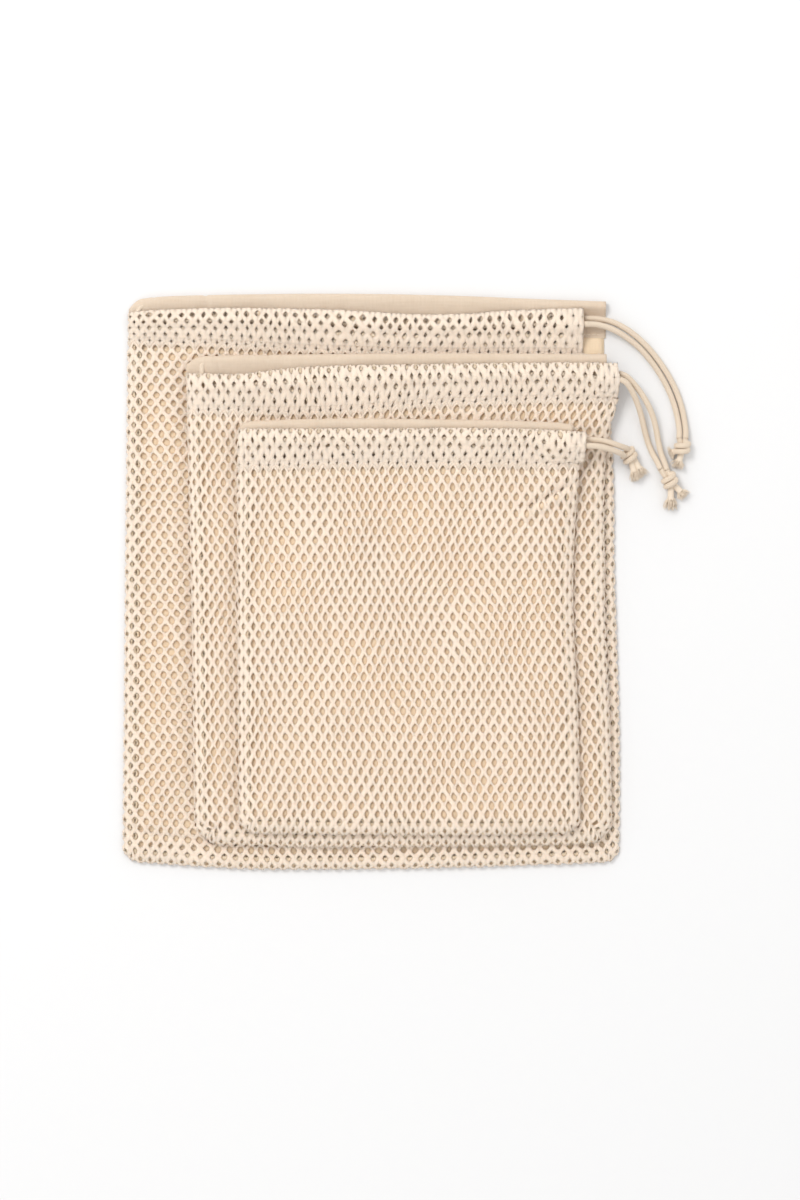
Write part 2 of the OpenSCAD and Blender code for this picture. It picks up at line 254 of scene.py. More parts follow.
# How much more cloth than plan width one wrapped edge takes
EDGE_EXTRA = EDGE_ALONG[-1] - EDGE_INSET[-1]


def edge_at(along):
    """Inset and rise of the net at a cloth distance from its seam."""
    beyond = np.maximum(0, along - EDGE_ALONG[-1])
    return np.interp(along, EDGE_ALONG, EDGE_INSET) + beyond, np.interp(along, EDGE_ALONG, EDGE_RISE)


def rise_at(inset):
    """Rise of the net at a distance in from the outline."""
    return np.interp(inset, EDGE_INSET[OUTERMOST:], EDGE_RISE[OUTERMOST:])


def soft_min(a, b):
    """The smaller of two positive values, with a rounded change from one to the other."""
    return (np.maximum(a, 0.05) ** -3.0 + np.maximum(b, 0.05) ** -3.0) ** (-1 / 3)


# ---- where each bag's cloth lies ----

class Bag:
    """One bag's outline and the heights of its cloth, in millimetres, from its CAD nodes."""

    def __init__(self, name, below):
        panel_low, panel_high = (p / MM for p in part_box(f"{name}_back_panel"))
        back_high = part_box(f"{name}_back_casing")[1] / MM
        front_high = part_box(f"{name}_front_casing")[1] / MM
        net_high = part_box(f"{name}_front_net")[1] / MM
        self.name = name
        self.below = below
        self.above = None
        if below:
            below.above = self
        self.x0, self.y0, self.z0 = panel_low
        self.x1 = panel_high.x
        self.back_hem_y = panel_high.y
        self.top_y = back_high.y
        self.back_end = back_high.x
        self.front_end = front_high.x
        self.front_top_y = front_high.y
        self.front_hem_y = net_high.y
        self.cord_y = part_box(f"{name}_cord_run")[0].y / MM + CORD_D / 2
        seed = BAGS.index(name) * 10
        self.waves = Ripples(seed + 1, 35, 160)
        self.drift_x = Ripples(seed + 2, 50, 200)
        self.drift_y = Ripples(seed + 3, 50, 200)
        self.cloth_w = self.x1 - self.x0 + 2 * EDGE_EXTRA
        self.cloth_l = self.front_hem_y - self.y0 + EDGE_EXTRA
        self.columns = round(self.cloth_w / NET_PITCH[name][0])
        self.rows = round(self.cloth_l / NET_PITCH[name][1])
        self.pitch = (self.cloth_w / self.columns, self.cloth_l / self.rows)
        self.casing_rows = round(CASING_ALONG[-1] / self.pitch[1])
        middle = (self.front_hem_y + self.front_top_y) / 2
        share = (self.front_end - FOLD_R - self.left(middle)) / (self.right(middle) - self.left(middle))
        self.casing_end = share * (self.x1 - self.x0) + EDGE_EXTRA

    def up(self, y):
        """Share of the way from the bottom to the top."""
        return (y - self.y0) / (self.top_y - self.y0)

    def across(self, x):
        """Share of the way from the left edge to the right."""
        return (x - self.x0) / (self.x1 - self.x0)

    def left(self, y):
        return self.x0 + curve(LEFT_SWAY[self.name], self.up(y))

    def right(self, y):
        return self.x1 + curve(RIGHT_SWAY[self.name], self.up(y))

    def bottom(self, x):
        return self.y0 + curve(BOTTOM_SWAY[self.name], self.across(x))

    def top(self, x):
        return self.top_y + curve(TOP_SWAY[self.name], self.across(x))

    def front_top(self, x):
        return self.front_top_y + curve(FRONT_TOP_SWAY[self.name], self.across(x))

    def hem(self, x):
        return self.front_hem_y + curve(HEM_SWAY[self.name], self.across(x))

    def channel(self, x):
        """Middle of the net casing's channel: on its ridge, and on the cord's exit at the right end."""
        ridge = self.hem(x) + RIDGE * (self.front_top(x) - self.hem(x))
        return ridge + (self.cord_y - ridge) * smooth((x - self.front_end + 35) / 25)

    def rise(self, x, y):
        """Rise of the net above the woven back at a place in plan."""
        sides = np.minimum(x - self.left(y), self.right(y) - x)
        return soft_min(rise_at(sides), rise_at(y - self.bottom(x)))

    def press(self, x, y):
        """How far the edges of the bag above press the net down, as a share of its rise."""
        if not self.above:
            return 0
        upper = self.above
        outside = np.maximum(upper.left(y) - x, upper.bottom(x) - y)
        outside = np.maximum(outside, x - upper.right(y))
        near = np.exp(-((outside - 1.0) / 6) ** 2)
        return 0.42 * near * smooth((upper.top_y - y) / 15)

    def back(self, x, y):
        """Height of the woven back's centre: flat at the mouth, and draped on what is under it."""
        flat = self.z0 + BACK_LIFT
        if not self.below:
            return flat + 0 * x
        draped = self.below.net(x, y) + STRAND_TOP + LAY_GAP + BACK_LIFT
        mouth = smooth((y - self.front_hem_y + 30) / 30)
        return draped + (flat - draped) * mouth

    def net(self, x, y, rise=None):
        """Height of the net's centre surface, for a rise taken from the plan if none is given."""
        rise = self.rise(x, y) if rise is None else rise
        uneven = WAVE * self.waves(x, y) + self.creases(x, y)[0]
        return self.back(x, y) + rise * (1 - self.press(x, y)) + uneven * rise / PUFF

    def creases(self, x, y):
        """Height the creases add to the net, and the share they take off its holes."""
        height, closing = 0 * x, 0 * x
        for start, end, rise, width, closed in CREASES[self.name]:
            start, run = np.array(start, float), np.subtract(end, start)
            length = np.hypot(*run)
            along = ((x - start[0]) * run[0] + (y - start[1]) * run[1]) / length
            aside = ((y - start[1]) * run[0] - (x - start[0]) * run[1]) / length
            near = np.exp(-(aside / width) ** 2) * smooth(along / 6) * smooth((length - along) / 10)
            height = height + rise * near
            closing = closing + closed * near
        return height, closing

    def panel(self, x, y):
        """Height of the woven back's centre: flat at its edges and mouth, bowed up to the net inside."""
        sides = np.minimum(x - self.left(y), self.right(y) - x)
        inside = np.minimum(sides, y - self.bottom(x))
        gap = MEET_GAP + 0.5 * smooth((13 - inside) / 3)
        flat = self.back(x, y)
        free = smooth((inside - 1.5) / 5) * smooth((self.front_hem_y + 8 - y) / 8)
        return flat + np.maximum(self.net(x, y) - gap - flat, 0) * free

    def plan(self, s, y_share, extra=0):
        """Point in plan from shares of the width and of the length up to the hem, with round corners."""
        x = self.x0 + s * (self.x1 - self.x0)
        y = self.bottom(x) + y_share * (self.hem(x) - self.bottom(x)) + extra
        x = self.left(y) + s * (self.right(y) - self.left(y))
        return self.round_corners(x, y)

    def round_corners(self, x, y):
        """Draws the bottom corners in to a round outline."""
        r = CORNER_R[self.name]
        up = r - (y - self.bottom(x))
        for side, edge in ((-1, self.left(y)), (1, self.right(y))):
            out = r - side * (edge - x)
            inside = (up > 0) & (out > 0)
            longest = np.maximum(up, out)
            factor = np.where(inside, longest / np.maximum(np.hypot(up, out), 1e-6), 1)
            x = np.where(inside, edge - side * (r - out * factor), x)
            y = np.where(inside, y + up * (1 - factor), y)
        return x, y

    def front(self, u, v):
        """Centre surface of the front net, at cloth distances from the left and bottom seams."""
        half = self.cloth_w / 2
        inset, side_rise = edge_at(half - np.abs(u - half))
        span = self.x1 - self.x0
        s = np.where(u < half, inset, span - inset) / span
        up, end_rise = edge_at(v)
        x, y = self.plan(s, up / (self.front_hem_y - self.y0))
        return np.stack([self.drift(x, y, s), y, self.net(x, y, soft_min(side_rise, end_rise))], -1)

    def drift(self, x, y, s):
        """Moves x a little sideways, except at the side edges."""
        return x + 1.2 * self.drift_x(x, y) * smooth(np.minimum(s, 1 - s) * 8)

    def casing(self, u, w):
        """Centre surface of the net's casing: w is the cloth distance up from the hem line, over
        the top fold and down inside. Past its right end the net is folded under."""
        inset, side_rise = edge_at(np.minimum(u, self.casing_end))
        folding = np.clip(u - self.casing_end, 0, math.pi * FOLD_R) / FOLD_R
        under = np.maximum(0, u - self.casing_end - math.pi * FOLD_R)
        span = self.x1 - self.x0
        s = (inset + FOLD_R * np.sin(folding) - under) / span
        up = np.interp(w, CASING_ALONG, CASING_UP)
        lift = np.interp(w, CASING_ALONG, CASING_LIFT)
        x0 = self.x0 + s * span
        depth = self.front_top(x0) - self.hem(x0)
        shift = self.channel(x0) - self.hem(x0) - RIDGE * depth
        bend = up * (1 - up) / (RIDGE * (1 - RIDGE))
        x, y = self.plan(s, 1.0, up * depth + shift * bend)
        x = self.drift(x, y, s)
        taper = side_rise / PUFF
        hem = self.net(x, np.minimum(y, self.hem(x)), soft_min(side_rise, PUFF + 0 * x))
        exit_rise = 0.9 * smooth((x0 - self.front_end + 18) / 10) * smooth((lift - 7) / 2)
        full = self.z0 + lift + exit_rise + WAVE * self.waves(x, y) - FOLD_R * (1 - np.cos(folding))
        tapered = self.z0 + BACK_LIFT + (full - self.z0 - BACK_LIFT) * taper
        return np.stack([x, y, hem + (tapered - hem) * smooth(w / 6)], -1)

    def cloth(self, u, v):
        """Centre surface of the whole net, from the bottom seam to the end of the casing's fold."""
        w = (v - self.cloth_l) * CASING_ALONG[-1] / (self.casing_rows * self.pitch[1])
        body = self.front(u, np.minimum(v, self.cloth_l))
        casing = self.casing(u, np.maximum(w, 0))
        return np.where((w > 0)[..., None], casing, body)


def casing_profile():
    """Section through the net's casing, from the hem line: cloth distance, share of the way up to
    the top fold, and height above the bag's underside."""
    depth = 22
    points = [(0, 5.9), (4, 6.4), (8, 7.2), (10.5, 8.2), (12.5, 9.4), (14.5, 9.9), (16.5, 9.4),
              (18.5, 8.4), (20.3, 7.9), (21.6, 7.3), (22, 6.7), (21.5, 6.4), (20.2, 7.1), (18.9, 7.5),
              (17.4, 6.4), (14.5, 4.6), (11.6, 5.6), (10.3, 7.2), (8, 6.45), (4, 5.7), (1, 5.2)]
    path = rounded_path(points, 8)
    return distances(path), path[:, 0] / depth, path[:, 1]


CASING_ALONG, CASING_UP, CASING_LIFT = casing_profile()
# Share of the casing's cloth below its top fold
CASING_FOLD = CASING_ALONG[np.argmax(CASING_UP)] / CASING_ALONG[-1]


# ---- meshes ----

def make_mesh(name, points, corners, sizes, uvs, material):
    """Smooth mesh object from points in millimetres: each face's corners in one row, how many
    corners each face has, and a UV per corner."""
    mesh = bpy.data.meshes.new(name)
    mesh.vertices.add(len(points))
    mesh.vertices.foreach_set("co", (points * MM).astype(np.float32).ravel())
    mesh.loops.add(len(corners))
    mesh.loops.foreach_set("vertex_index", corners.astype(np.int32))
    mesh.polygons.add(len(sizes))
    starts = np.concatenate([[0], np.cumsum(sizes)[:-1]])
    mesh.polygons.foreach_set("loop_start", starts.astype(np.int32))
    mesh.polygons.foreach_set("use_smooth", np.ones(len(sizes), bool))
    mesh.uv_layers.new(name="UVMap").data.foreach_set("uv", uvs.astype(np.float32).ravel())
    mesh.update(calc_edges=True)
    mesh.validate()
    mesh.materials.append(material)
    obj = bpy.data.objects.new(name, mesh)
    bpy.context.scene.collection.objects.link(obj)
    return obj


def quad_mesh(name, points, quads, uvs, material):
    """Mesh object of faces of four corners."""
    return make_mesh(name, points, quads.ravel(), np.full(len(quads), 4), uvs, material)


def attach(piece, body, node):
    """Has a piece ride on a body, in place of a CAD node."""
    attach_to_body(piece, body)
    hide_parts(node)


def tile_rim(segments):
    """Corners and side points of one net cell, counterclockwise, in steps of half a pitch over
    segments."""
    t = np.arange(segments)
    n = segments
    right = np.stack([n - t, t], 1)
    top = np.stack([-t, n - t], 1)
    left = np.stack([t - n, -t], 1)
    bottom = np.stack([t, t - n], 1)
    return np.concatenate([right, top, left, bottom])


def surface_normals(place, u, v, points):
    """Normals of a surface given by place(u, v)."""
    step = 0.05
    along_u = place(u + step, v) - points
    along_v = place(u, v + step) - points
    normal = np.cross(along_u, along_v)
    return normal / np.maximum(np.linalg.norm(normal, axis=-1, keepdims=True), 1e-9)


def scatter(keys, which):
    """Number from 0 to 1 for each pair of keys, the same each time."""
    value = np.sin(keys[:, 0] * 12.9898 + keys[:, 1] * 78.233 + which * 37.719) * 43758.5453
    return value - np.floor(value)


class Net:
    """Lattice of net cells on a surface: rhombus tiles that share their strands' centre lines."""

    def __init__(self, pitch, half, power, segments, seed, uneven=1.0):
        self.uneven = uneven
        self.pitch = pitch
        self.half = half
        self.power = power
        self.segments = segments
        self.rng = np.random.default_rng(seed)

    def cells(self, columns, rows):
        """Column and row of each cell; every second row is moved by half a pitch."""
        i, j = np.meshgrid(np.arange(*columns), np.arange(*rows), indexing="ij")
        i, j = i.ravel(), j.ravel()
        keep = (j % 2 == 0) | (i < columns[1] - 1)
        return i[keep], j[keep]

    def holes(self, i, j, size, lean):
        """Rim of each cell's hole, in cloth millimetres from the cell's middle."""
        n = self.segments
        rim = tile_rim(n) / n
        p = self.power
        length = (np.abs(rim[:, 0]) ** p + np.abs(rim[:, 1]) ** p) ** (1 / p)
        unit = rim / length[:, None]
        count = len(i)
        jitter = self.uneven * self.rng.normal(0, 1, (count, 5)).clip(-2, 2)
        a = self.half[0] * size * (1 + 0.09 * jitter[:, 0])
        b = self.half[1] * size * (1 + 0.06 * jitter[:, 1])
        lean = lean + 0.07 * jitter[:, 2]
        y = unit[None, :, 1] * b[:, None]
        x = unit[None, :, 0] * a[:, None] + lean[:, None] * y
        middle = 0.16 * jitter[:, 3:5]
        return np.stack([x, y], -1) + middle[:, None, :]

    def build(self, name, columns, rows, place, shape, material, top=STRAND_TOP,
              under=STRAND_UNDER, offset=0.0):
        """Net of cells on place(u, v), moved by offset along the normal. shape(u, v) gives the
        scale and the lean of the hole there."""
        n = self.segments
        pu, pv = self.pitch
        i, j = self.cells(columns, rows)
        rim = tile_rim(n)
        centre = np.stack([2 * n * i + n * (j % 2) + n, n * j], 1)
        key = centre[:, None, :] + rim[None, :, :]
        unit = np.array([pu / (2 * n), pv / n])
        flat_key = key.reshape(-1, 2)
        shared, first, index = np.unique(flat_key, axis=0, return_index=True, return_inverse=True)
        index = index.reshape(len(i), 4 * n)
        shared_uv = shared * unit
        shared_uv = shared_uv + 0.3 * (np.stack([scatter(shared, 1), scatter(shared, 2)], 1) - 0.5)
        middle = centre * unit
        size, lean = shape(middle[:, 0], middle[:, 1])
        hole = middle[:, None, :] + self.holes(i, j, size, lean)
        rim_uv = shared_uv[index]
        slope = rim_uv + (hole - rim_uv) * 0.68
        # how near each shared point is to a junction of strands
        knot = np.maximum(np.abs(np.cos(math.pi * shared[:, 0] / n)), 0) ** 2
        lumps = 0.88 + 0.24 * scatter(shared, 3)
        flat = 0.5 + 0.5 * np.minimum(shape(shared_uv[:, 0], shared_uv[:, 1])[0], 1)
        crown = top * flat * (0.9 + 0.2 * knot) * lumps

        levels = [
            (shared_uv, offset + crown),
            (shared_uv, offset - under * flat),
            (slope.reshape(-1, 2), offset + 0.8 * crown[index].ravel()),
            (hole.reshape(-1, 2), offset + 0.05 * np.ones(index.size)),
        ]
        points = []
        for uv, height in levels:
            at = place(uv[:, 0], uv[:, 1])
            points.append(at + surface_normals(place, uv[:, 0], uv[:, 1], at) * height[:, None])

        count = len(shared)
        ring = np.arange(index.size).reshape(index.shape)
        top_id, under_id = index, index + count
        slope_id, hole_id = ring + 2 * count, ring + 2 * count + index.size
        faces, uvs = [], []
        row = key[:, :, 1] / n
        for (outer, inner), (a, b) in (((top_id, slope_id), (0, 0.5)), ((slope_id, hole_id), (0.5, 1)),
                                       ((hole_id, under_id), (1, 1.6))):
            following = np.roll(outer, -1, 1), np.roll(inner, -1, 1)
            faces.append(np.stack([outer, following[0], following[1], inner], -1).reshape(-1, 4))
            next_row = np.roll(row, -1, 1)
            corner = [(row, a), (next_row, a), (next_row, b), (row, b)]
            pairs = [np.stack([r, np.full(r.shape, c)], -1) for r, c in corner]
            uvs.append(np.stack(pairs, 2).reshape(-1, 4, 2))
        faces.append(self.rim_walls(index, count))
        uvs.append(np.zeros((len(faces[-1]), 4, 2)))
        points, faces, uvs = (np.concatenate(each) for each in (points, faces, uvs))
        return quad_mesh(name, points, faces, uvs, material)

    @staticmethod
    def rim_walls(index, count):
        """Faces that close the net's outer border, where a cell has no neighbour."""
        a = index.ravel()
        b = np.roll(index, -1, 1).ravel()
        edge = np.stack([np.minimum(a, b), np.maximum(a, b)], 1)
        _, inverse, times = np.unique(edge, axis=0, return_inverse=True, return_counts=True)
        alone = times[inverse.ravel()] == 1
        a, b = a[alone], b[alone]
        return np.stack([a + count, b + count, b, a], 1)


def cloth_sheet(name, grid, thickness, material):
    """Closed sheet of cloth of one thickness on a grid of points, with UVs in millimetres of cloth."""
    rows, columns = grid.shape[:2]
    normal = np.cross(np.gradient(grid, axis=1), np.gradient(grid, axis=0))
    normal /= np.maximum(np.linalg.norm(normal, axis=-1, keepdims=True), 1e-9)
    points = np.concatenate([(grid + normal * thickness / 2).reshape(-1, 3),
                             (grid - normal * thickness / 2).reshape(-1, 3)])
    across = np.cumsum(np.linalg.norm(np.diff(grid, axis=1, prepend=grid[:, :1]), axis=-1), 1)
    along = np.cumsum(np.linalg.norm(np.diff(grid, axis=0, prepend=grid[:1]), axis=-1), 0)
    uv = np.stack([across, along], -1).reshape(-1, 2)
    uv = np.concatenate([uv, uv])
    ids = np.arange(rows * columns).reshape(rows, columns)
    quad = np.stack([ids[:-1, :-1], ids[:-1, 1:], ids[1:, 1:], ids[1:, :-1]], -1).reshape(-1, 4)
    under = quad[:, ::-1] + rows * columns
    loop = np.concatenate([ids[0, :-1], ids[:-1, -1], ids[-1, :0:-1], ids[:0:-1, 0]])
    after = np.roll(loop, -1)
    rim = np.stack([loop, loop + rows * columns, after + rows * columns, after], 1)
    faces = np.concatenate([quad, under, rim])
    return quad_mesh(name, points, faces, uv[faces], material)


def tube(path, radius, sides):
    """Points, faces and UVs of a round tube on a path; radius may be a value for each point."""
    path = np.asarray(path, float)
    radius = np.broadcast_to(radius, len(path))
    direction = np.gradient(path, axis=0)
    direction /= np.linalg.norm(direction, axis=1, keepdims=True)
    side = np.zeros_like(path)
    start = np.cross(direction[0], (0, 0, 1))
    if np.linalg.norm(start) < 0.2:
        start = np.cross(direction[0], (0, 1, 0))
    side[0] = start
    for k in range(1, len(path)):
        side[k] = side[k - 1] - direction[k] * (side[k - 1] @ direction[k])
        side[k] /= np.linalg.norm(side[k])
    side[0] /= np.linalg.norm(side[0])
    up = np.cross(side, direction)
    angle = 2 * math.pi * np.arange(sides) / sides
    ring = side[:, None] * np.cos(angle)[:, None] + up[:, None] * np.sin(angle)[:, None]
    points = (path[:, None] + radius[:, None, None] * ring).reshape(-1, 3)
    ids = np.arange(len(points)).reshape(len(path), sides)
    after = np.roll(ids, -1, 1)
    quads = np.stack([ids[:-1], after[:-1], after[1:], ids[1:]], -1)
    along = distances(path)
    turn = np.arange(sides + 1) / sides
    uv = np.zeros(quads.shape + (2,))
    uv[..., 0, 0] = uv[..., 3, 0] = turn[None, :-1]
    uv[..., 1, 0] = uv[..., 2, 0] = turn[None, 1:]
    uv[..., 0, 1] = uv[..., 1, 1] = along[:-1, None]
    uv[..., 2, 1] = uv[..., 3, 1] = along[1:, None]
    centres = np.array([path[0], path[-1]])
    first, last = len(points), len(points) + 1
    points = np.concatenate([points, centres])
    caps = [np.stack([after[0], ids[0], np.full(sides, first), np.full(sides, first)], 1),
            np.stack([ids[-1], after[-1], np.full(sides, last), np.full(sides, last)], 1)]
    return points, quads.reshape(-1, 4), uv.reshape(-1, 4, 2), np.concatenate(caps)[:, :3]


def joined_tubes(name, tubes, material):
    """One mesh object from several tubes."""
    points, corners, uvs, sizes = [], [], [], []
    total = 0
    for tube_points, quads, uv, caps in tubes:
        points.append(tube_points)
        corners += [(quads + total).ravel(), (caps + total).ravel()]
        uvs += [uv.reshape(-1, 2), np.zeros((caps.size, 2))]
        sizes += [np.full(len(quads), 4), np.full(len(caps), 3)]
        total += len(tube_points)
    joined = [np.concatenate(each) for each in (points, corners, sizes, uvs)]
    return make_mesh(name, *joined, material)


# ---- materials ----

class Look:
    """A material, with short calls that add and join its nodes."""

    def __init__(self, name, roughness, sheen=0.0, scatter_weight=0.0):
        self.material = bpy.data.materials.new(name)
        self.material.use_nodes = True
        self.tree = self.material.node_tree
        self.shader = self.tree.nodes["Principled BSDF"]
        self.shader.inputs["Roughness"].default_value = roughness
        self.shader.inputs["Specular IOR Level"].default_value = 0.25
        self.shader.inputs["Sheen Weight"].default_value = sheen
        self.shader.inputs["Sheen Roughness"].default_value = 0.6
        self.shader.inputs["Subsurface Weight"].default_value = scatter_weight
        self.shader.inputs["Subsurface Radius"].default_value = (1, 0.8, 0.65)
        self.shader.inputs["Subsurface Scale"].default_value = 0.0014

    def add(self, kind, inputs=(), **settings):
        """New node, with its settings, and its inputs set to values or joined to sockets."""
        node = self.tree.nodes.new("ShaderNode" + kind)
        for key, value in settings.items():
            setattr(node, key, value)
        for key, value in dict(inputs).items():
            if isinstance(value, bpy.types.NodeSocket):
                self.tree.links.new(value, node.inputs[key])
            else:
                node.inputs[key].default_value = value
        return node

    def math(self, operation, a, b=0.0):
        return self.add("Math", {0: a, 1: b}, operation=operation).outputs[0]

    def total(self, *terms):
        """Sum of sockets, each given with its weight, and of plain numbers."""
        result = sum(term for term in terms if not isinstance(term, tuple))
        for socket, weight in (term for term in terms if isinstance(term, tuple)):
            inputs = {0: socket, 1: weight, 2: result}
            result = self.add("Math", inputs, operation="MULTIPLY_ADD").outputs[0]
        return result

    def uv(self):
        """The two UV coordinates."""
        split = self.add("SeparateXYZ", {0: self.add("UVMap", uv_map="UVMap").outputs[0]})
        return split.outputs[0], split.outputs[1]

    def place(self):
        """Position in the object's own frame, in metres."""
        return self.add("TexCoord").outputs["Object"]

    def noise(self, scale, detail=2.0, stretch=(1, 1, 1)):
        """Noise from 0 to 1 over the object, drawn out along an axis by a stretch below 1."""
        mapped = self.add("Mapping", {"Vector": self.place(), "Scale": stretch}).outputs[0]
        inputs = {"Vector": mapped, "Scale": scale, "Detail": detail, "Roughness": 0.5}
        return self.add("TexNoise", inputs).outputs["Fac"]

    def mix(self, factor, low, high):
        """Colour between two colours or colour sockets."""
        node = self.add("Mix", data_type="RGBA")
        for key, value in ((0, factor), (6, low), (7, high)):
            if isinstance(value, bpy.types.NodeSocket):
                self.tree.links.new(value, node.inputs[key])
            elif key == 0:
                node.inputs[key].default_value = value
            else:
                node.inputs[key].default_value = (*value, 1)
        return node.outputs[2]

    def finish(self, colour, height, depth):
        """Joins the colour, and a bump of that depth in metres."""
        self.tree.links.new(colour, self.shader.inputs["Base Color"])
        bump = self.add("Bump", {"Height": height, "Distance": depth, "Strength": 1.0})
        self.tree.links.new(bump.outputs[0], self.shader.inputs["Normal"])
        return self.material


def half_wave(look, turns):
    """Wave from 0 to 1 that repeats with each whole turn."""
    angle = look.math("MULTIPLY", turns, 2 * math.pi)
    return look.total((look.math("SINE", angle), 0.5), 0.5)


def net_material(name, light, shade, under):
    """Soft cotton yarn, knitted in small loops that point along the strand. Painted shade: darker in the
    grooves between the loops, and a warmer tan on the strand's sides and underside.
    """
    look = Look(name, roughness=0.85, sheen=0.15, scatter_weight=0.2)
    row, across = look.uv()
    loops = half_wave(look, look.total((row, 5.0), (across, -0.9)))
    fibres = look.noise(2600, detail=3)
    patches = look.noise(45)
    # Painted shade: the grooves between the loops are coloured darker; the fibres and patches add random
    # tone.
    tone = look.total((loops, -0.32), (fibres, 0.35), (patches, 0.25), 0.32 - 0.125)
    top = look.mix(tone, light, shade)
    # Painted shade: down the strand's side and over its underside the colour turns to under, a warmer tan
    # for the shade on the hole walls.
    side = look.add("MapRange", {"Value": across, "From Min": 0.55, "From Max": 1.0}).outputs[0]
    colour = look.mix(side, top, under)
    height = look.total((loops, 1.0), (fibres, 0.8))
    return look.finish(colour, height, 0.00022)


def muslin_material(name, light, shade):
    """Plain weave of slightly uneven cotton threads."""
    look = Look(name, roughness=0.8, sheen=0.1, scatter_weight=0.2)
    u, v = look.uv()
    thread = 0.42
    warp = half_wave(look, look.math("DIVIDE", u, 2 * thread))
    weft = half_wave(look, look.math("DIVIDE", v, 2 * thread))
    over = look.math("ABSOLUTE", look.math("SUBTRACT", warp, weft))
    slubs_x = look.noise(900, stretch=(0.06, 1, 1))
    slubs_y = look.noise(900, stretch=(1, 0.06, 1))
    patches = look.noise(25)
    tone = look.total((over, 0.22), (slubs_x, 0.55), (slubs_y, 0.55), (patches, 0.4), -0.4)
    height = look.total((over, 1.0), (slubs_x, 0.7), (slubs_y, 0.7))
    return look.finish(look.mix(tone, light, shade), height, 0.00008)


def cord_material(name, light, shade):
    """Fine round braid: two sets of strands that cross in small diamonds, with painted shade in the gaps
    between the strands.
    """
    look = Look(name, roughness=0.8, sheen=0.2)
    turn, along = look.uv()
    one = half_wave(look, look.total((turn, 8.0), (along, 0.85)))
    other = half_wave(look, look.total((turn, 8.0), (along, -0.85)))
    braid = look.math("MAXIMUM", one, other)
    fibres = look.noise(3000, detail=3)
    patches = look.noise(60)
    # Painted shade: the gaps between the braid's strands are coloured darker; the fibres and patches add
    # random tone.
    tone = look.total((braid, -0.7), (fibres, 0.3), (patches, 0.4), 0.7 - 0.2)
    height = look.total((braid, 1.0), (fibres, 0.4))
    return look.finish(look.mix(tone, light, shade), height, 0.00025)


def thread_material(name, light, shade):
    """Twisted thread."""
    look = Look(name, roughness=0.75, sheen=0.2)
    turn, along = look.uv()
    twist = half_wave(look, look.total((turn, 1.0), (along, 1.4)))
    fibres = look.noise(4000)
    tone = look.total((twist, 0.4), (fibres, 0.4))
    return look.finish(look.mix(tone, light, shade), twist, 0.00005)


def floor_material():
    """Plain matt white sheet with the faintest grain."""
    look = Look("white_table", roughness=0.9)
    grain = look.noise(120, detail=3)
    colour = look.mix(grain, (0.785, 0.785, 0.79), (0.795, 0.795, 0.795))
    return look.finish(colour, grain, 0.00001)


# ---- scene ----

def add_camera():
    """Looks straight down, from far enough for little perspective."""
    centre = (CAD_LOW + CAD_HIGH) / 2
    data = bpy.data.cameras.new("camera")
    data.sensor_width = 36
    data.lens = 100
    view_height = 0.723
    aim_offset = Vector((-0.0048, -0.0105, 0))
    distance = view_height / 2 / (data.sensor_width / 2 / data.lens)
    camera = bpy.data.objects.new("camera", data)
    camera.location = centre + aim_offset + Vector((0, 0, distance))
    bpy.context.scene.collection.objects.link(camera)
    bpy.context.scene.camera = camera


def add_light(name, place, aim, size, power, colour):
    """Square soft light that points at aim."""
    data = bpy.data.lights.new(name, "AREA")
    data.size = size
    data.energy = power
    data.color = colour
    lamp = bpy.data.objects.new(name, data)
    lamp.location = place
    lamp.rotation_euler = (Vector(aim) - Vector(place)).to_track_quat("-Z", "Y").to_euler()
    bpy.context.scene.collection.objects.link(lamp)


def add_surroundings():
    """White floor, even light from all round, and one soft light from the upper left."""
    bpy.ops.mesh.primitive_plane_add(size=8)
    floor = bpy.context.object
    floor.name = "floor"
    floor.data.materials.append(floor_material())
    world = bpy.data.worlds.new("studio")
    world.use_nodes = True
    background = world.node_tree.nodes["Background"]
    background.inputs["Color"].default_value = (1, 1, 1, 1)
    background.inputs["Strength"].default_value = 0.94
    bpy.context.scene.world = world
    add_light("key", (-1.0, 1.15, 2.2), (0, 0, 0), 1.0, 31, (1, 0.985, 0.965))
    settings = bpy.context.scene.view_settings
    settings.view_transform = "Standard"
    settings.exposure = 0.0


# ---- cords ----

def add_cords(bag, cord, fray):
    """The two free legs, the knot, the frayed tails and the run inside the casings."""
    name = bag.name
    knot = add_knot(name, cord)
    tails = add_tails(name, cord, fray)
    for part, routes in (("upper", UPPER_ROUTES), ("lower", LOWER_ROUTES)):
        node = f"{name}_cord_{part}_leg"
        path = rounded_path(routes[name], 5)
        leg = joined_tubes(node + "_braid", [tube(path / MM, CORD_D / 2, 16)], cord)
        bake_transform(leg)
        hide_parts(node)
    add_run(bag, cord)


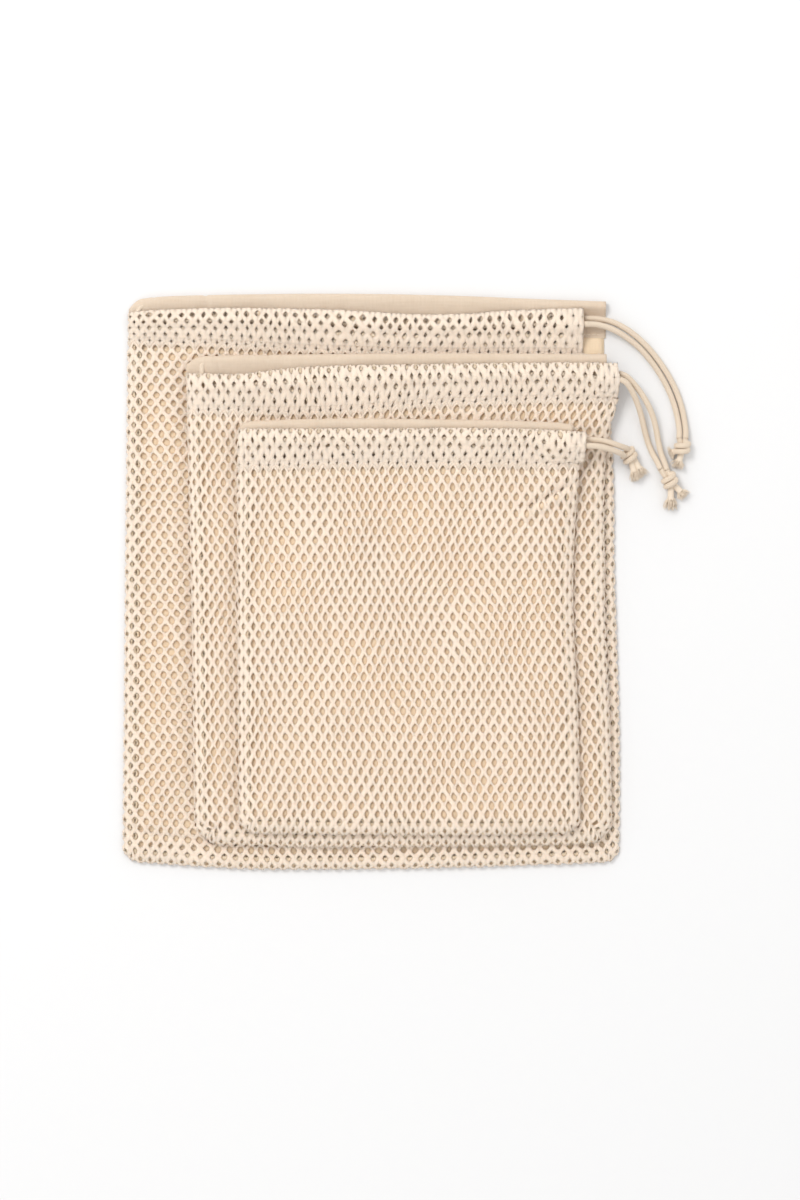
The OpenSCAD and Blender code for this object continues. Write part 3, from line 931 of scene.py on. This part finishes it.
def add_knot(name, cord):
    """Overhand knot tied in both legs at once: the core, and the doubled cord wrapped round it."""
    centre = np.array(KNOT_CENTRE[name])
    angle = math.radians(KNOT_ANGLE[name])
    axis = np.array([math.cos(angle), math.sin(angle), 0])
    side = np.array([-axis[1], axis[0], 0])
    up = np.array([0, 0, 1.0])
    tubes = []
    for shift in (-0.5, 0.5):
        t = np.linspace(0, 1, 60)
        turn = np.radians(WINDING_START + WINDING_TURN * t)
        ends = np.minimum(smooth(t / 0.13), smooth((1 - t) / 0.13))
        radius = 0.9 + 2.6 * ends
        along = shift * CORD_D * (0.9 + 0.1 * ends) + 1.9 * np.sin(turn * 0.5 + 0.5) + 1.9 * (t - 0.5)
        path = (centre + along[:, None] * axis + (radius * np.cos(turn))[:, None] * side
                + (radius * np.sin(turn) * 0.8)[:, None] * up)
        tubes.append(tube(path, CORD_D / 2 * 0.96, 14))
    ends = [UPPER_ROUTES[name][-1], LOWER_ROUTES[name][-1]]
    for leg_end, (root, _) in zip(ends, TAILS[name]):
        start = np.array(leg_end) / MM
        place = 1 if (start - centre) @ side > 0 else -1
        inside = centre - axis * 1.5 + side * place * 1.1
        path = rounded_path([start, inside, centre + axis * 2 + side * place, np.array(root)], 6)
        tubes.append(tube(path, CORD_D / 2 * 0.98, 14))
    knot = joined_tubes(f"{name}_cord_knot_wrap", tubes, cord)
    attach(knot, f"{name}_cord", f"{name}_cord_knot")
    return knot


def frayed_tail(root, tip, rng):
    """A short stub of cord, and the loose threads that it opens into."""
    root, tip = np.array(root, float), np.array(tip, float)
    run = tip - root
    length = np.linalg.norm(run)
    axis = run / length
    side = np.cross(axis, (0, 0, 1))
    side /= np.linalg.norm(side)
    up = np.cross(side, axis)
    stub = rounded_path([root - axis * 2, root, root + axis * length * 0.35, root + axis * length * 0.55], 4)
    tubes = [tube(stub, CORD_D / 2 * np.linspace(1, 1.15, len(stub)), 12)]
    for _ in range(LOOSE_THREADS):
        turn = rng.uniform(0, 2 * math.pi)
        out = math.sqrt(rng.uniform(0, 1))
        reach = length * rng.uniform(0.75, 1.12)
        spread = rng.uniform(1.6, 4.2) * out + 0.3
        curl = rng.uniform(0.1, 0.7)
        phase = rng.uniform(0, 2 * math.pi)
        t = np.linspace(0, 1, 9)
        start = length * 0.3
        widen = 1.5 * out * (1 - smooth(t)) + (1.5 * out + spread) * smooth(t) * 0.8
        swing = curl * np.sin(t * 7 + phase) * t
        path = (root + np.outer(start + (reach - start) * t, axis)
                + np.outer(widen * math.cos(turn) + swing, side)
                + np.outer(0.8 * widen * math.sin(turn) + 0.6 * swing, up))
        path[:, 2] = np.maximum(path[:, 2], 0.3)
        tubes.append(tube(path, np.linspace(0.24, 0.15, len(t)), 5))
    return tubes


def add_tails(name, cord, fray):
    """Both frayed tails of a knot, as one piece."""
    rng = np.random.default_rng(40 + BAGS.index(name))
    tubes = []
    for root, tip in TAILS[name]:
        tubes += frayed_tail(root, tip, rng)
    tails = joined_tubes(f"{name}_cord_tufts", tubes, fray)
    attach(tails, f"{name}_cord", f"{name}_cord_frayed_ends")
    return tails


def add_run(bag, cord):
    """Cord inside the casings: in at the back, round the closed end, and out along the front."""
    name = bag.name
    low, high = (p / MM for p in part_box(f"{name}_cord_run"))
    r = CORD_D / 2
    front_y, front_z, back_y, back_z = low.y + r, high.z - r, high.y - r, low.z + r
    end = high.x

    def back(x):
        """The cord's place in the woven casing, clear of where its top edge dips."""
        return min(back_y, bag.top(x) - CORD_ROOM)

    exit_y, exit_z = UPPER_ROUTES[name][0][1] / MM, UPPER_ROUTES[name][0][2] / MM
    window = bag.back_end - 20
    turn = low.x + r + 12
    points = [(end, exit_y, exit_z), (end - 8, exit_y, exit_z),
              (window, (exit_y + back(window)) / 2, exit_z - 0.2), (window - 14, back(window - 14), back_z)]
    points += [(x, back(x), back_z) for x in np.linspace(window - 40, turn + 12, 9)]
    mid_z = (front_z + back_z) / 2 - 1.2
    points += [(turn, back(turn) - 0.8, back_z + 0.3), (turn - 6, (back_y + front_y) / 2 + 1, mid_z - 0.6),
               (turn - 3, bag.channel(turn) + 1, mid_z + 1)]
    points += [(x, bag.channel(x), front_z - 0.9) for x in np.linspace(turn + 14, end - 12, 11)]
    points += [(end - 5, front_y, front_z - 0.1), (end, front_y, front_z)]
    run = joined_tubes(f"{name}_cord_run_braid", [tube(rounded_path(points, 6), r, 12)], cord)
    attach(run, f"{name}_bag", f"{name}_cord_run")


# ---- net ----

def add_net(bag, part, rows, columns, yarn):
    """One part of a bag's net: both parts are rows of the same lattice."""
    name = bag.name
    width_ease = Ripples(60 + BAGS.index(name), 25, 120)
    lean_ease = Ripples(63 + BAGS.index(name), 30, 120)
    fold = bag.cloth_l + CASING_FOLD * bag.casing_rows * bag.pitch[1]
    end = bag.cloth_l + bag.casing_rows * bag.pitch[1]

    def shape(u, v):
        """Scale and lean of the holes, which close up at the seams, creases, hem and folds."""
        over_hem = v - bag.cloth_l
        in_casing = over_hem > -1
        size = 0.52 + 0.48 * smooth((np.minimum(u, bag.cloth_w - u) - 4) / 6)
        size *= 0.55 + 0.45 * smooth((v - 6) / 6)
        closing = bag.creases(bag.x0 - EDGE_EXTRA + u, bag.y0 - EDGE_EXTRA + v)[1]
        size *= 1 - closing
        closed_end = 0.14 + 0.86 * smooth((bag.casing_end - u - 6) / 8)
        band = 0.26 + 0.42 * smooth((over_hem - 1.5) / 6) + 0.22 * smooth((over_hem - 13) / 5)
        size *= np.where(in_casing, band * closed_end, 1)
        size *= np.where(v > fold, 0.2, 1)
        size *= 0.75 + 0.25 * smooth((np.abs(v - fold) - 1) / 3)
        size *= 0.55 + 0.45 * smooth((end - v) / 4)
        return size * (1 + 0.08 * width_ease(u, v)), 0.1 * lean_ease(u, v) + np.maximum(closing, 0)

    uneven, hole_scale, thick, held, support = NET_PARTS[part]
    seed = 70 + 2 * BAGS.index(name) + list(NET_PARTS).index(part)
    segments = 2 if name == "large" and part == "front_net" else 3
    half = [hole_scale * size for size in HOLE_HALF[name]]
    net = Net(bag.pitch, half, HOLE_POWER[name], segments, seed, uneven)
    piece = net.build(f"{name}_{part}_knit", (0, columns), rows, bag.cloth, shape, yarn, *thick)
    attach(piece, f"{name}_bag", f"{name}_{part}")


def add_nets(bag, yarn):
    """The net front, and its hem casing in line with it."""
    add_net(bag, "front_net", (1, bag.rows), bag.columns, yarn)
    columns = int((bag.casing_end + SEAM_W) / bag.pitch[0])
    add_net(bag, "front_casing", (bag.rows, bag.rows + bag.casing_rows), columns, yarn)


def add_seams(bag, yarn):
    """Seam allowances inside the bag: the net's gathered edges, close under the front, in the yarn given: a
    warmer tan copy of the net yarn, painted shade for the holes by the edges.
    """
    name = bag.name
    along = (0.35, 0.7)
    first = round(CORNER_R[name] / bag.pitch[1])
    narrow = 3.7
    strips = [
        ("left_seam", (narrow, bag.pitch[1]), along, (1, 3), (first, bag.rows), 0),
        ("right_seam", (narrow, bag.pitch[1]), along, (1, 3), (first, bag.rows), bag.cloth_w - 4 * narrow),
        ("bottom_seam", (bag.pitch[0], 2.6), (0.5, 0.3), (1, bag.columns - 1), (2, 5), 0)]
    for part, pitch, half, columns, rows, shift in strips:
        net = Net(pitch, half, 1.8, 2, 76 + BAGS.index(name))

        def place(u, v):
            return bag.front(u + shift, v)

        def shape(u, v):
            return np.ones_like(u), np.zeros_like(u)

        strip = net.build(f"{name}_{part}_allowance", columns, rows, place, shape, yarn,
                          top=0.4, under=0.35, offset=-1.0)
        attach(strip, f"{name}_bag", f"{name}_{part}")


# ---- stitches ----

def add_stitches(name, body, route, thread, stands_for):
    """Row of short stitches along a route, each one dipping into the cloth at its ends."""
    along = distances(route)
    pitch, length, r = 3.1, 2.3, 0.2
    tubes = []
    for start in np.arange(0.5, along[-1] - pitch, pitch):
        at = start + length * np.linspace(0, 1, 6)
        path = np.stack([np.interp(at, along, route[:, k]) for k in range(3)], 1)
        path[:, 2] += np.array([-0.3, 0.05, 0.16, 0.16, 0.05, -0.3])
        tubes.append(tube(path, r, 6))
    row = joined_tubes(name, tubes, thread)
    attach(row, body, stands_for)


def add_hem_stitches(bag, thread):
    """The rows of stitches that close both casings."""
    name = bag.name
    u = np.linspace(4, bag.casing_end - 2, 400)
    route = bag.casing(u, np.full(u.shape, 2.4)) + (0, 0, STRAND_TOP * 0.75)
    add_stitches(f"{name}_front_hem_thread", f"{name}_bag", route, thread, f"{name}_front_hem_stitch")
    x = np.linspace(bag.x0 + 4, bag.back_end - 2, 300)
    y = bag.top(x) - (bag.top_y - bag.back_hem_y) + 2
    route = np.stack([x, y, np.full(x.shape, bag.z0 + 1.05)], 1)
    add_stitches(f"{name}_back_hem_thread", f"{name}_bag", route, thread, f"{name}_back_hem_stitch")


# ---- muslin ----


def add_back_panel(bag, inside, outside):
    """The woven back, draped on what is under it and bowed up inside the bag. Its outer face has its
    casing's material;
    the inside, seen through the net, has a lighter, warmer copy of the same muslin: painted light in the
    shade under the net."""
    name = bag.name
    columns, rows = 72, 84
    s, t = np.meshgrid(np.linspace(0, 1, columns), np.linspace(0, 1, rows))
    # the panel ends a little inside the wrapped net
    inset = 0.9
    span = bag.x1 - bag.x0
    s = inset / span + s * (1 - 2 * inset / span)
    length = bag.front_hem_y - bag.y0
    t = inset / length + t * ((bag.back_hem_y - bag.y0) / length - inset / length)
    x = bag.x0 + s * span
    y = bag.bottom(x) + t * (bag.front_hem_y - bag.bottom(x))
    x = bag.left(y) + s * (bag.right(y) - bag.left(y))
    x, y = bag.round_corners(x, y)
    grid = np.stack([x, y, bag.panel(x, y)], -1)
    panel = cloth_sheet(f"{name}_back_panel_muslin", grid, MUSLIN_T, inside)
    panel.data.materials.append(outside)
    # The top faces, inside the bag, keep the first material, the painted-light muslin; the underside and rim
    # take the plain muslin.
    outer = np.arange(len(panel.data.polygons)) >= (rows - 1) * (columns - 1)
    panel.data.polygons.foreach_set("material_index", outer.astype(np.int32))
    attach(panel, f"{name}_bag", f"{name}_back_panel")


def add_back_casing(bag, muslin):
    """The woven back's folded hem: under layer, soft roll round the cord, and upper layer."""
    name = bag.name
    drop = bag.top_y - bag.back_hem_y
    section = rounded_path([(drop, 0.25), (14, 0.25), (6, 0.3), (2.6, 0.45), (0.9, 1.3), (0.1, 2.9),
                            (0.8, 4.6), (2.6, 5.5), (4.8, 5.3), (7.5, 4.6), (10.5, 3.9), (14, 3.2),
                            (18, 2.0), (drop - 0.6, 0.95), (drop, 0.62)], 4)
    stations = 150
    share, down = np.meshgrid(np.linspace(0, 1, stations), section[:, 0])
    lift = np.meshgrid(share[0], section[:, 1])[1]
    end = bag.back_end
    left = bag.left(bag.top_y - down) + 0.4
    x = left + share * (end - left)
    pucker = Ripples(90 + BAGS.index(name), 9, 40)
    broad = Ripples(95 + BAGS.index(name), 40, 150)
    crease = np.exp(-((x - bag.x0 - 48) / 1.1) ** 2) + 0.7 * np.exp(-((x - bag.x0 - 17.5) / 1.3) ** 2)
    high = smooth((lift - 0.7) / 2)
    corner = smooth((x - left) / 14)
    y = bag.top(x) - down - 0.5 * crease * high
    squeeze = 1 - 0.14 * crease + 0.05 * broad(x, y)
    lift = np.where(lift > 0.6, 0.6 + (lift - 0.6) * squeeze * (0.35 + 0.65 * corner), lift)
    tab = smooth((x - bag.front_end + 6) / 8) * smooth((down - 3) / 6)
    lift = np.where(lift > 0.6, 0.6 + (lift - 0.6) * (1 - 0.86 * tab), lift)
    lift = lift + 0.22 * pucker(x, y * 0.6) * smooth((lift - 0.8) / 1.5)
    grid = np.stack([x, y, bag.z0 + lift], -1)
    casing = cloth_sheet(f"{name}_back_casing_muslin", grid, MUSLIN_T, muslin)
    attach(casing, f"{name}_bag", f"{name}_back_casing")


# ---- build ----


add_camera()
braid = cord_material("cotton_cord", (0.85, 0.72, 0.575), (0.64, 0.5, 0.36))
fluff = thread_material("frayed_cotton", (0.86, 0.75, 0.62), (0.66, 0.53, 0.39))
# Third colour of a net yarn: painted shade on the strands' sides and undersides.
net_yarn = net_material("cotton_net", (0.95, 0.795, 0.665), (0.87, 0.69, 0.53), (1.0, 0.79, 0.58))
muslin_cloth = muslin_material("muslin", (0.73, 0.6, 0.48), (0.61, 0.48, 0.355))
# Painted light: a lighter, warmer copy of the muslin for the inside of each back, seen through the net,
# brightened where the net shades it.
painted_light_muslin = muslin_material("painted_light_muslin", (0.94, 0.75, 0.545), (0.83, 0.635, 0.44))
# Painted shade: the seam allowances, seen only through the holes by the edges, get a warmer tan copy of the
# net yarn that stands in for the shade there.
shade_tinted_seam_yarn = net_material("seam_net_painted_shade", (0.98, 0.79, 0.58), (0.9, 0.69, 0.48), (0.97, 0.74, 0.51))
sewing_thread = thread_material("sewing_thread", (0.88, 0.78, 0.66), (0.76, 0.63, 0.5))

bags = []
for bag_name in BAGS:
    bags.append(Bag(bag_name, bags[-1] if bags else None))
for each in bags:
    add_cords(each, braid, fluff)
for each in bags:
    add_nets(each, net_yarn)
    add_seams(each, shade_tinted_seam_yarn)
    add_back_panel(each, painted_light_muslin, muslin_cloth)
    add_back_casing(each, muslin_cloth)
    add_hem_stitches(each, sewing_thread)

add_surroundings()
